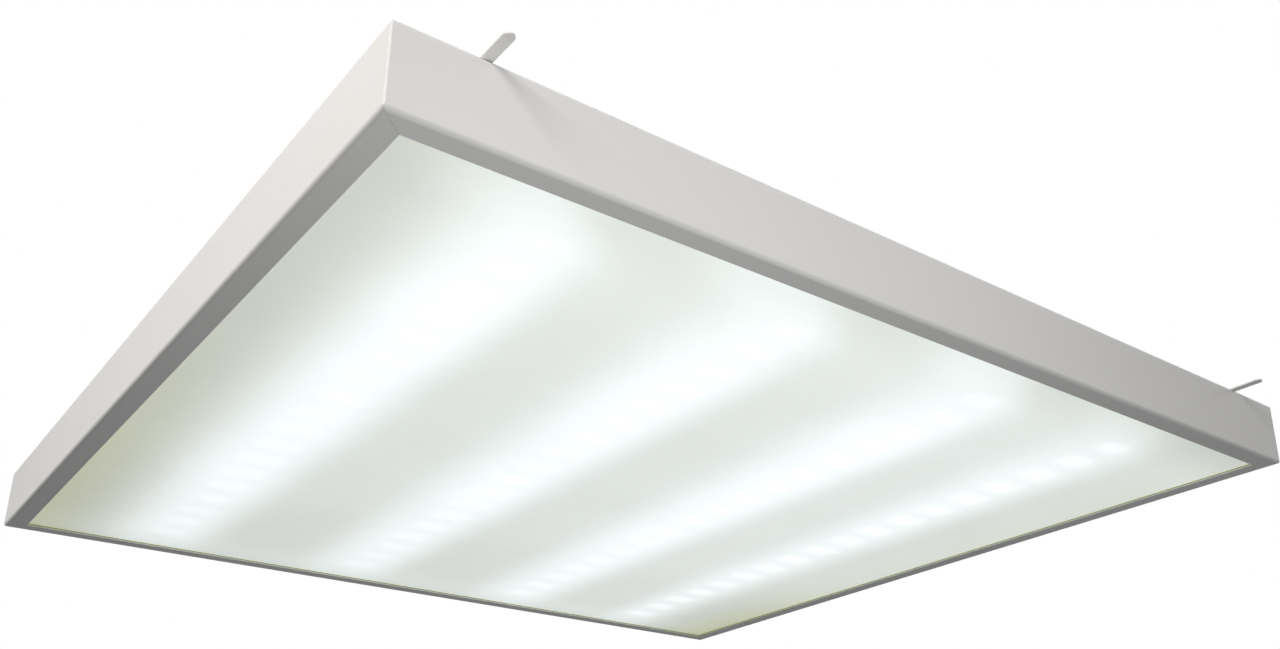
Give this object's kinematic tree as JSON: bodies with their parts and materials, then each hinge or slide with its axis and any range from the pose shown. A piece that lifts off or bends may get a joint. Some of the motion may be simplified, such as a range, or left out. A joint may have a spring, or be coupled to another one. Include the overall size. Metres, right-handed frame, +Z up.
{
  "type": "recessed troffer light",
  "caption": "Square lay-in ceiling light: folded steel box with in-turned lip, opal diffuser lit by LED strips, swivelling hold-down tabs, driver and mains terminal block on top.",
  "frame": {"origin": "centre of the lip's underside, the face that rests on the ceiling grid", "axes": "+Z up into the ceiling, the lit side faces -Z; LED strips run along Y; the hold-down tabs stand out of the two walls across Y"},
  "size_m": [0.595, 0.6296, 0.0673],
  "materials": {
    "white_powder_coat": "satin",
    "zinc_steel": "satin",
    "opal_diffuser": "matte",
    "foam_tape": "matte",
    "rivet_aluminium": "satin",
    "white_nylon": "satin",
    "black_rubber": "matte",
    "white_polycarbonate": "satin",
    "green_laminate": "satin",
    "white_board": "satin",
    "led_package": "satin",
    "grey_nylon": "satin",
    "grey_fibre": "matte",
    "ferrite": "matte",
    "yellow_tape": "satin",
    "copper_wire": "gloss",
    "capacitor_sleeve": "gloss",
    "yellow_plastic": "satin",
    "bare_aluminium": "satin",
    "black_epoxy": "matte",
    "clamp_brass": "satin",
    "tinned_copper": "satin",
    "earth_brass": "satin",
    "button_red": "gloss",
    "button_blue": "gloss",
    "button_green": "gloss",
    "lead_white": "satin",
    "lead_red": "satin",
    "lead_black": "satin",
    "lead_brown": "satin",
    "lead_blue": "satin",
    "lead_green_yellow": "satin"
  },
  "bodies": {
    "luminaire": {"back_cover": "white_powder_coat", "bulk_capacitors": "capacitor_sleeve", "choke_core": "ferrite", "choke_windings": "copper_wire", "circuit_board": "green_laminate", "cover_screws": "zinc_steel", "diffuser": "opal_diffuser", "diffuser_tape": "foam_tape", "driver_base": "white_polycarbonate", "driver_lid": "white_polycarbonate", "driver_screws": "zinc_steel", "earth_lead": "lead_green_yellow", "earth_lug": "tinned_copper", "earth_nut": "earth_brass", "earth_screw": "earth_brass", "earth_washer": "zinc_steel", "film_capacitor": "yellow_plastic", "grommet": "black_rubber", "heat_sink": "bare_aluminium", "housing_frame": "white_powder_coat", "input_terminal": "grey_nylon", "jumper_lead_1": "lead_white", "jumper_lead_2": "lead_white", "jumper_lead_3": "lead_white", "lead_clips": "white_nylon", "led_chips_1": "led_package", "led_chips_2": "led_package", "led_chips_3": "led_package", "led_chips_4": "led_package", "led_strip_1": "white_board", "led_strip_2": "white_board", "led_strip_3": "white_board", "led_strip_4": "white_board", "lid_screws": "zinc_steel", "live_lead": "lead_brown", "neutral_lead": "lead_blue", "output_capacitors": "capacitor_sleeve", "output_lead_minus": "lead_black", "output_lead_plus": "lead_red", "output_terminal": "grey_nylon", "power_transistors": "black_epoxy", "strip_connectors": "white_nylon", "strip_rivets": "rivet_aluminium", "tab_rivets": "rivet_aluminium", "tab_washers": "zinc_steel", "terminal_block": "grey_nylon", "terminal_clamps": "clamp_brass", "terminal_insulator": "grey_fibre", "terminal_screws": "zinc_steel", "transformer_core": "ferrite", "transformer_winding": "yellow_tape"},
    "hold_down_tab_1": {"hold_down_tab_1": "white_powder_coat"},
    "hold_down_tab_2": {"hold_down_tab_2": "white_powder_coat"},
    "hold_down_tab_3": {"hold_down_tab_3": "white_powder_coat"},
    "hold_down_tab_4": {"hold_down_tab_4": "white_powder_coat"},
    "release_button_live": {"release_button_live": "button_red"},
    "release_button_neutral": {"release_button_neutral": "button_blue"},
    "release_button_earth": {"release_button_earth": "button_green"}
  },
  "joints": [
    {"name": "tab_swivel_1", "type": "hinge", "parent": "luminaire", "child": "hold_down_tab_1", "pos_m": [-0.258, -0.2855, 0.0404], "axis": [0, 0, 1], "range_deg": [-90, 90]},
    {"name": "tab_swivel_2", "type": "hinge", "parent": "luminaire", "child": "hold_down_tab_2", "pos_m": [0.258, -0.2855, 0.0404], "axis": [0, 0, 1], "range_deg": [-90, 90]},
    {"name": "tab_swivel_3", "type": "hinge", "parent": "luminaire", "child": "hold_down_tab_3", "pos_m": [0.258, 0.2855, 0.0404], "axis": [0, 0, 1], "range_deg": [-90, 90]},
    {"name": "tab_swivel_4", "type": "hinge", "parent": "luminaire", "child": "hold_down_tab_4", "pos_m": [-0.258, 0.2855, 0.0404], "axis": [0, 0, 1], "range_deg": [-90, 90]},
    {"name": "press_live", "type": "slide", "parent": "luminaire", "child": "release_button_live", "axis": [0, 0, -1], "range_m": [0, 0.0015], "stiffness_N_per_m": 900, "springref_m": -0.002},
    {"name": "press_neutral", "type": "slide", "parent": "luminaire", "child": "release_button_neutral", "axis": [0, 0, -1], "range_m": [0, 0.0015], "stiffness_N_per_m": 900, "springref_m": -0.002},
    {"name": "press_earth", "type": "slide", "parent": "luminaire", "child": "release_button_earth", "axis": [0, 0, -1], "range_m": [0, 0.0015], "stiffness_N_per_m": 900, "springref_m": -0.002}
  ]
}
